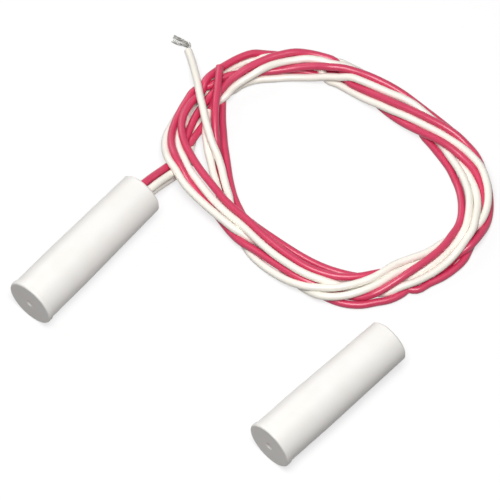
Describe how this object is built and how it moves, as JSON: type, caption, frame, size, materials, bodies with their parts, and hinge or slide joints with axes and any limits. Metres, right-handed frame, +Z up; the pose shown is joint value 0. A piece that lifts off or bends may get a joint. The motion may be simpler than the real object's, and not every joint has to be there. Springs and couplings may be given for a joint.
{
  "type": "recessed magnetic contact",
  "caption": "Press-in reed switch in a flanged white barrel with red and white leads in a loose coil, and its matching magnet barrel.",
  "frame": {"origin": "on the floor plane, under the middle of the box round the two housings, the leads left out", "axes": "+Y along the switch half from its closed face to its leads, +X from the switch half towards the magnet half, +Z up from the floor"},
  "size_m": [0.0801, 0.0822, 0.0099],
  "materials": {
    "white_shell": "moulded ABS, soft gloss",
    "potting_resin": "cast resin, self-levelled",
    "reed_glass": "clear drawn glass",
    "reed_metal": "nickel-iron wire, plated",
    "sleeve": "plain insulating sleeve",
    "solder": "reflowed solder",
    "tinned_copper": "stranded, tinned",
    "red_pvc": "extruded soft PVC, glossy",
    "white_pvc": "extruded soft PVC, glossy",
    "coiled_pvc": "extruded soft PVC, red and white leads together",
    "magnet_alloy": "cast and ground magnet alloy"
  },
  "bodies": {
    "contact_set": {"switch_shell": "white_shell", "switch_potting": "potting_resin", "reed_glass": "reed_glass", "reed_lead_front": "reed_metal", "reed_lead_rear": "reed_metal", "return_sleeve": "sleeve", "splice_rear": "solder", "splice_return": "solder", "loop_splice": "solder", "red_1_conductor": "tinned_copper", "red_2_conductor": "tinned_copper", "white_1_conductor": "tinned_copper", "white_2_conductor": "tinned_copper", "red_1_lead": "red_pvc", "red_2_lead": "red_pvc", "white_1_lead": "white_pvc", "white_2_lead": "white_pvc", "lead_coil": "coiled_pvc", "red_1_tail": "red_pvc", "red_2_tail": "red_pvc", "white_1_tail": "white_pvc", "white_2_tail": "white_pvc", "white_1_strands": "tinned_copper", "magnet_shell": "white_shell", "magnet_bar": "magnet_alloy", "magnet_potting": "potting_resin"},
    "front_blade": {"reed_blade_front": "reed_metal"},
    "rear_blade": {"reed_blade_rear": "reed_metal"}
  },
  "joints": [
    {"name": "front_blade_flex", "type": "hinge", "parent": "contact_set", "child": "front_blade", "pos_m": [-0.02842, -0.01318, 0.0058], "axis": [0, 0, 1], "range_deg": [0, 0.64], "stiffness_Nm_per_rad": 0.0002},
    {"name": "rear_blade_flex", "type": "hinge", "parent": "contact_set", "child": "rear_blade", "pos_m": [-0.02842, -0.00448, 0.0058], "axis": [0, 0, 1], "range_deg": [0, 0.64], "stiffness_Nm_per_rad": 0.0002}
  ],
  "couplings": [
    {"joint": "rear_blade_flex", "follows": "front_blade_flex", "ratio": 1}
  ]
}
